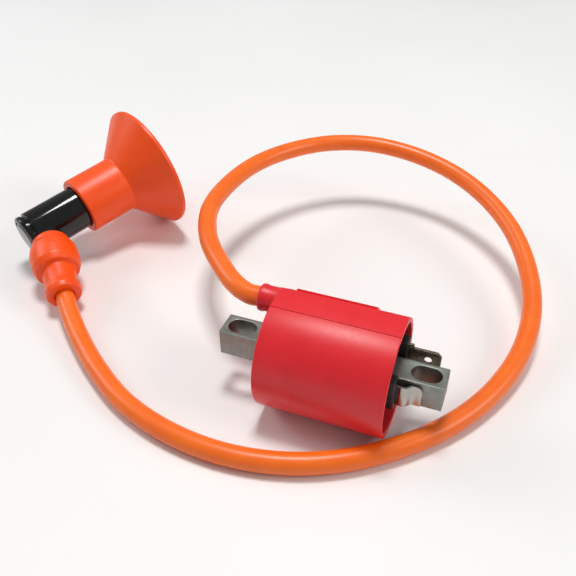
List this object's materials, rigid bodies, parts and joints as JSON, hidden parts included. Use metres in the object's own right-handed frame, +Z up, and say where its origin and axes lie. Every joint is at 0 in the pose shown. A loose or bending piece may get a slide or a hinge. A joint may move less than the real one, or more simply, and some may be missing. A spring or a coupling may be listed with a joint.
{
  "type": "ignition coil",
  "caption": "Potted barrel ignition coil on a slotted iron core bar, with spade and earth terminals and a high-tension lead to an elbowed spark plug cap with a flared rubber seal.",
  "frame": {"origin": "on the floor under the middle of the core bar, centre of the coil's underside without its lead", "axes": "+X along the core bar towards the terminals, +Z up, +Y towards the lead's outlet side"},
  "size_m": [0.2065, 0.1731, 0.0519],
  "materials": {
    "red_plastic": "satin moulded red plastic",
    "core_iron": "plated iron, slightly mottled",
    "insulating_film": "polyester film",
    "nylon": "moulded nylon",
    "enamelled_copper": "enamelled copper wire",
    "resin": "poured epoxy resin",
    "black_nylon": "moulded black nylon",
    "blade_metal": "plated brass sheet",
    "tinned_metal": "tinned sheet",
    "brass": "turned brass",
    "lead_jacket": "smooth orange silicone jacket",
    "orange_rubber": "satin orange rubber",
    "black_phenolic": "glossy black phenolic",
    "spring_steel": "bright spring wire",
    "ceramic_rod": "unglazed ceramic resistor rod"
  },
  "bodies": {
    "coil": {"coil_housing": "red_plastic", "core_bar": "core_iron", "core_sleeve": "insulating_film", "primary_bobbin": "nylon", "primary_winding": "enamelled_copper", "winding_wrap": "insulating_film", "secondary_bobbin": "nylon", "secondary_winding_1": "enamelled_copper", "secondary_winding_2": "enamelled_copper", "secondary_winding_3": "enamelled_copper", "secondary_winding_4": "enamelled_copper", "secondary_winding_5": "enamelled_copper", "secondary_winding_6": "enamelled_copper", "potting_resin": "resin", "blade_carrier": "black_nylon", "strap_carrier": "black_nylon", "blade_terminal": "blade_metal", "earth_strap": "tinned_metal", "ht_contact_pin": "brass", "ht_link": "tinned_metal", "lead_coil_end": "lead_jacket", "ht_lead": "lead_jacket", "lead_cap_end": "lead_jacket"},
    "plug_cap": {"cap_body": "black_phenolic", "cap_end_plug": "black_phenolic", "contact_spring": "spring_steel", "resistor_cap_rear": "brass", "resistor_rod": "ceramic_rod", "resistor_cap_front": "brass", "terminal_socket": "brass", "socket_clip": "spring_steel", "lead_screw": "brass", "cable_boot": "orange_rubber"},
    "plug_seal": {"seal_boot": "orange_rubber"}
  },
  "joints": [
    {"name": "cap_swivel", "type": "hinge", "parent": "coil", "child": "plug_cap", "pos_m": [-0.1338, 0.0353, 0.01723], "axis": [0.674, -0.698, -0.2419], "range_deg": [0, 90]},
    {"name": "seal_slide", "type": "slide", "parent": "plug_cap", "child": "plug_seal", "axis": [0.4502, 0.8759, 0.1737], "range_m": [0, 0.012]}
  ]
}
